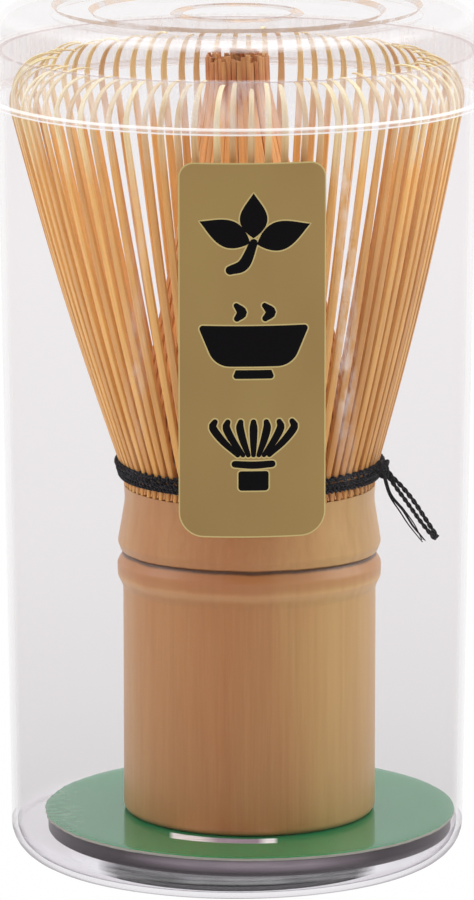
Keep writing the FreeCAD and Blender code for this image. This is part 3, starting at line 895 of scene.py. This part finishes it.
def make_label():
    paper, ink = 0.12, 0.02
    base = sticker("label_paper", [label_outline(0.0)], 0.02, paper - 0.01, RIM_LINE)
    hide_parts("label_sticker")
    sticker("label_face", [label_outline(0.2)], paper - 0.012, paper, GOLD)
    shapes = icons()
    sticker("label_print_line", [grown(s, 0.2) for s in shapes], paper - 0.002, paper + ink / 2, RIM_LINE)
    sticker("label_print", shapes, paper, paper + ink, INK)


# The whisk


def make_culm():
    outer, bore, root_radius = 19.1, 15.2, 18.95
    outline = rounded([
        (bore, FOOT, 0.4),
        (outer, FOOT, 1.1),
        (outer, GROOVE - 5.2, 1.6),
        (19.9, GROOVE - 3.5, 0.8),
        (19.95, GROOVE - 1.6, 1.2),
        (19.25, GROOVE - 0.35, 0.3),
        (19.0, GROOVE, 0.12),
        (19.45, GROOVE + 0.4, 0.3),
        (19.9, GROOVE + 1.6, 1.2),
        (18.8, ROOT - 2.3, 8.0),
        (root_radius, ROOT),
        (root_radius - 1.5, ROOT),
        (bore, ROOT - 4, 1.0),
        (bore, GROOVE + 1.2, 2.0),
        (0, GROOVE + 0.6),
        (0, GROOVE - 1.8),
        (bore, GROOVE - 1.2, 2.0),
    ], 7)
    dense = []
    for (r0, z0), (r1, z1) in zip(outline, outline[1:] + outline[:1]):
        pieces = max(1, round(abs(z1 - z0) / 1.5)) if r0 > 0 and r1 > 0 else 1
        dense += [(r0 + (r1 - r0) * k / pieces, z0 + (z1 - z0) * k / pieces) for k in range(pieces)]

    def grown_shape(angle, r, z):
        """The culm isn't quite round, and its node's swellings vary round it."""
        if r < bore + 0.5 or z > ROOT - 1.5:
            return r
        oval = -0.08 + 0.06 * math.cos(2 * angle + 0.7) + 0.03 * math.cos(3 * angle + 2.0)
        ripple = 0.05 * math.sin(7 * angle + 0.12 * z) * math.exp(-((z - GROOVE) / 5) ** 2)
        return r + oval * min(1, (ROOT - 1.5 - z) / 6) + ripple

    def tilted(angle, r, z):
        """The node is a little higher in front than behind."""
        return z - NODE_TILT * r * math.sin(angle) * math.exp(-((z - GROOVE) / 6) ** 2)

    culm = turned("culm", dense, [SKIN, CUT], segments=256, centre=SHIFT, wobble=grown_shape, lift=tilted,
                  slots=lambda r, z: int(r < bore + 1.2 or (z < FOOT + 0.15)))
    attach(culm, "whisk")
    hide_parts("culm_handle")


def prong(line, widths, thicks, lean=0.0, sides=10):
    """One prong in the XZ plane along line, a list of (x, z).

    Returns vertices, faces, and for each vertex how far along it is, 0 to 1, and its grain coordinates.
    """
    p = np.array(line, float)
    length = np.concatenate([[0], np.cumsum(np.linalg.norm(np.diff(p, axis=0), axis=1))])
    share = length / length[-1]
    tangent = np.gradient(p, axis=0)
    tangent /= np.linalg.norm(tangent, axis=1)[:, None]
    verts, along, grain = [], [], []
    for i in range(len(p)):
        across = np.array([tangent[i][1], -tangent[i][0]])
        w, t = widths[i] / 2, thicks[i] / 2
        for k in range(sides):
            a = 2 * math.pi * (k + 0.5) / sides
            c, s = math.cos(a), math.sin(a)
            u = math.copysign(abs(c) ** 0.45, c) * t
            v = math.copysign(abs(s) ** 0.45, s) * w
            place = p[i] + across * u
            verts.append((place[0], v + lean * share[i] ** 2, place[1]))
            along.append(share[i])
            grain.append((u * 2.4, v * 2.4, length[i] * 0.1))
    faces = []
    for i in range(0, (len(p) - 1) * sides, sides):
        for k in range(sides):
            j = (k + 1) % sides
            faces.append([i + k, i + j, i + sides + j, i + sides + k])
    faces.append(list(range(sides))[::-1])
    faces.append(list(range((len(p) - 1) * sides, len(p) * sides)))
    return verts, faces, along, grain


def at_share(values, shares):
    """Values given as [(share, value), ...], read at each of the shares."""
    xs, ys = zip(*values)
    return np.interp(shares, xs, ys)


def spread_from_culm(angle):
    """How far the spread circle, centred on the case, lies from the culm's axis in this direction."""
    radius = 33.5
    return math.sqrt(radius ** 2 - (SHIFT * math.sin(angle)) ** 2) - SHIFT * math.cos(angle)


def outer_line(widest, curl, sweep, raised):
    """The middle line of an outer prong: up through the thread, a bowed lean, and the curl of its tip."""
    middle, foot, lean = 18.45, ROOT + 0.05, math.radians(14.7)
    waist = ROOT + 1.3
    centre = Vector((widest - curl, 115.6 + raised))
    start = centre + curl * Vector((math.cos(lean), -math.sin(lean)))
    line = [(middle, foot), (middle, foot + 0.6), (middle + 0.02, waist)]
    for k in range(1, 17):
        u = k / 16
        bow = 0.7 * math.sin(math.pi * u)
        line.append((middle + (start.x - middle) * u + bow, waist + (start.y - waist) * u))
    for k in range(1, 13):
        a = math.radians(sweep) * k / 12 - lean
        tight = 1 - 0.12 * (k / 12) ** 2
        line.append((centre.x + curl * tight * math.cos(a), centre.y + curl * tight * math.sin(a)))
    return line


def place_prongs(parts, name, material, at_angle):
    """Joins prongs of one sector into an object. Each of parts is (prong, angle in radians, tone)."""
    verts, faces, along, grain, tones = [], [], [], [], []
    for (v, f, a, gr), angle, tone in parts:
        faces += [[i + len(verts) for i in face] for face in f]
        verts += at_angle(v, angle)
        along += a
        grain += [(x + tone * 37, y, z + tone * 91) for x, y, z in gr]
        tones += [tone] * len(v)
    obj = new_object(name, verts, faces, material, smooth_angle=50)
    store(obj, "along", "FLOAT", along)
    store(obj, "tone", "FLOAT", tones)
    store(obj, "grain", "FLOAT_VECTOR", grain)
    return obj


def make_outer_prongs():
    def standing(verts, angle):
        c, s = math.cos(angle), math.sin(angle)
        return [(SHIFT + x * c - y * s, x * s + y * c, z) for x, y, z in verts]

    for sector in range(SECTORS):
        parts = []
        for i in range(PRONGS):
            angle = math.radians(sector * 360 / SECTORS + (i - (PRONGS - 1) / 2) * PRONG_STEP)
            widest = spread_from_culm(angle) + 0.3 - rng.uniform(0, 0.3)
            line = outer_line(widest, rng.uniform(6.2, 7.4), rng.uniform(88, 112), rng.uniform(-0.5, 0.2))
            shares = np.linspace(0, 1, len(line))
            width = rng.uniform(0.94, 1.05)
            widths = at_share([(0, 0.72), (0.07, 0.74), (0.13, 1.25), (0.3, 1.36), (0.5, 1.18), (0.68, 0.95),
                               (0.82, 0.8), (0.93, 0.74), (1, 0.42)], shares) * width
            widths = np.minimum(widths, at_share([(0, 0.72), (0.07, 0.75), (0.13, 1.4), (1, 1.4)], shares))
            thicks = at_share([(0, 0.98), (0.12, 0.92), (0.4, 0.66), (0.62, 0.42), (1, 0.2)], shares)
            parts.append((prong(line, widths, thicks, rng.uniform(-0.35, 0.35)), angle, rng.random()))
        body = f"prongs_{sector + 1:02d}"
        obj = place_prongs(parts, f"outer_{body}_split", OUTER, standing)
        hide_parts(f"outer_{body}")
        start, end = (SHIFT * MM, 0, ROOT * MM), (SHIFT * MM, 0, (ROOT + 45) * MM)
        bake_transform(obj)
        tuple(start)
        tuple(end)


def make_inner_prongs():
    foot, rise = 18.4, CORE_HIGH - 0.1 - ROOT
    for sector in range(SECTORS):
        parts = []
        for i in range(PRONGS):
            angle = math.radians(sector * 360 / SECTORS + (i - (PRONGS - 1) / 2 + 0.5) * PRONG_STEP)
            layer = (sector + i) % 2
            reach = 4.5 - 0.85 * layer + rng.uniform(-0.12, 0.12)
            shares = np.linspace(0, 1, 14)
            lean = (reach + 0.2 - foot) / 0.9
            line = [(max(foot + lean * u, reach), ROOT + 0.15 + rise * u) for u in shares]
            line[-1] = (line[-1][0], line[-1][1] - rng.uniform(0, 1.4))
            full = 0.7 - 0.12 * layer
            widths = at_share([(0, 0.4), (0.1, 0.42), (0.25, 1.1), (0.6, 1.3), (0.8, 1.0),
                               (0.9, full + 0.06), (1, full)], shares)
            thicks = at_share([(0, 0.85), (0.3, 0.7), (1, 0.4)], shares)
            made = prong(line, widths, thicks, rng.uniform(-0.12, 0.12), sides=8)
            parts.append((made, angle, rng.random()))

        def leaning(verts, angle):
            """Stands a prong on the culm and shifts its upper part to the case's middle."""
            c, s = math.cos(angle), math.sin(angle)
            return [(SHIFT * (1 - (z - ROOT) / rise) + x * c - y * s, x * s + y * c, z) for x, y, z in verts]

        obj = place_prongs(parts, f"inner_prongs_{sector + 1:02d}_split", INNER, leaning)
        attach(obj, "whisk")
        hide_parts(f"inner_prongs_{sector + 1:02d}")


# The thread


def finish_thread(name, part, *nodes):
    obj = new_object(name, *part, THREAD, smooth_angle=60)
    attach(obj, "whisk")
    if nodes:
        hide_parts(*nodes)
    return obj


def make_wrap():
    """Two plain turns, and a third that dips between the prongs it passes."""
    radius, flare, pitch, low = 19.52, 0.26, 0.82, WRAP_LOW.z + 0.42
    parts = []
    for turn in range(3):
        count = 960
        points = []
        for k in range(count):
            a = 2 * math.pi * k / count
            woven = turn == 2
            dip = 0.5 - 0.5 * math.cos(80 * a) if woven else 0.0
            r = radius + turn * flare + 0.04 * math.sin(11 * a + turn) - 0.18 * dip
            z = low + turn * pitch + 0.05 * math.sin(5 * a + 2 * turn) + 0.3 * dip
            points.append((SHIFT + r * math.cos(a), r * math.sin(a), z))
        parts.append(twisted(points, 0.4, 1.7, closed=True))
    finish_thread("thread_turns", merge(parts), "thread_wrap")


def make_knot():
    """The knot: a loop pulled over itself, flat against the turns."""
    angle = math.radians(-21)
    out = Vector((math.cos(angle), math.sin(angle), 0))
    side = Vector((-math.sin(angle), math.cos(angle), 0))
    middle = Vector((SHIFT, 0, (KNOT_LOW.z + KNOT_HIGH.z) / 2)) + out * 21.4
    points = []
    for k in range(120):
        t = 2 * math.pi * k / 120
        u = math.sin(t) + 2 * math.sin(2 * t)
        v = math.cos(t) - 2 * math.cos(2 * t)
        w = -math.sin(3 * t)
        points.append(tuple(middle + side * u * 0.34 + Vector((0, 0, 1)) * v * 0.38 + out * w * 0.42))
    finish_thread("thread_knot_loop", twisted(points, 0.46, 1.8, closed=True), "thread_knot")


# The ends' routes, as in the CAD
LONG_ROUTE = [
    (22.9, -8.0, 59.4), (24.6, -8.2, 57.4), (26.4, -8.1, 55.0), (28.1, -8.3, 52.5), (29.9, -8.4, 50.0),
]
SHORT_ROUTE = [
    (22.05, -8.75, 59.45), (22.9, -9.8, 56.9), (24.6, -10.3, 54.6), (26.2, -10.8, 52.3), (27.9, -11.0, 50.0),
]


def bowed(route, start, by):
    """A route from start, with its middle pushed aside."""
    step = math.pi / (len(route) + 1)
    shifted = [tuple(Vector(q) + Vector(by) * math.sin(step * k)) for k, q in enumerate(route, 1)]
    return smooth_line([tuple(start)] + shifted, 0.12)


def make_ends():
    knot = (KNOT_LOW + KNOT_HIGH) / 2
    long_parts = [
        twisted(bowed(LONG_ROUTE, knot + Vector((0.5, 0.2, 0.2)), (0.25, 0.1, 0.3)), 0.34, 2.2),
        twisted(bowed(LONG_ROUTE, knot + Vector((0.2, -0.3, -0.5)), (-0.4, -0.1, -0.35)), 0.32, 2.0),
    ]
    finish_thread("thread_long_end", merge(long_parts), "thread_end_long")
    short_parts = []
    for k in range(5):
        aside = (rng.uniform(-0.3, 0.3), rng.uniform(-0.2, 0.2), rng.uniform(-0.3, 0.3))
        route = []
        for n, q in enumerate(SHORT_ROUTE):
            stray = Vector((rng.uniform(-1, 1), 0.4 * rng.uniform(-1, 1), rng.uniform(-1, 1)))
            route.append(tuple(Vector(q) + stray * 0.1 * n))
        line = bowed(route, knot + Vector((0.0, -0.5, -0.8)), aside)
        short_parts.append(tube(line, [0.15 - 0.07 * i / len(line) for i in range(len(line))], sides=6))
    finish_thread("thread_short_end", merge(short_parts), "thread_end_short")


# The studio


def make_studio():
    scene = bpy.context.scene
    g = Graph("studio_floor")
    tint = g.noise(g.position(0.002, 0.002, 0.002), 1.0, 2.0)
    pale = g.mix(tint, (1.0, 1.0, 1.0), (0.995, 0.995, 0.995))
    white = g.surface(g.add("Emission", Color=pale, Strength=1.0))
    size, low = 6000, -0.2
    corners = [(-size, -size, low), (size, -size, low), (size, size, low), (-size, size, low)]
    floor = new_object("studio_floor", corners, [[0, 1, 2, 3]], white)

    world = bpy.data.worlds.new("studio")
    scene.world = world
    world.use_nodes = True
    background = world.node_tree.nodes["Background"]
    background.inputs[0].default_value = (1.0, 0.995, 0.99, 1)
    background.inputs[1].default_value = 1.0

    def soft_box(name, place, aim, width, height, power):
        light = bpy.data.lights.new(name, "AREA")
        light.shape, light.size, light.size_y, light.energy = "RECTANGLE", width, height, power
        obj = bpy.data.objects.new(name, light)
        obj.location = place
        obj.rotation_euler = (Vector(aim) - Vector(place)).to_track_quat("-Z", "Y").to_euler()
        scene.collection.objects.link(obj)

    soft_box("box_right", (0.7, 0.1, 0.45), (0, 0, 0.06), 0.5, 0.6, 3.0)
    soft_box("box_left", (-0.7, 0.0, 0.5), (0, 0, 0.06), 0.5, 0.6, 2.0)
    soft_box("box_top", (0.0, 0.1, 0.9), (0, 0, 0.06), 0.6, 0.6, 2.5)


def make_camera():
    scene = bpy.context.scene
    camera = bpy.data.cameras.new("camera")
    camera.sensor_width = 36
    camera.lens = 270.9
    camera.clip_start, camera.clip_end = 0.05, 20
    obj = bpy.data.objects.new("camera", camera)
    obj.location = (0.0, -1.0, 0.2625)
    aim = Vector((0.0, 0.0, 0.0618))
    obj.rotation_euler = (aim - obj.location).to_track_quat("-Z", "Y").to_euler()
    scene.collection.objects.link(obj)
    scene.camera = obj
    scene.view_settings.view_transform = "Standard"
    scene.cycles.transparent_max_bounces = 48


make_camera()
make_cup()
make_lid()
make_card()
make_label()
make_culm()
make_outer_prongs()
make_inner_prongs()
make_wrap()
make_knot()
make_ends()
make_studio()
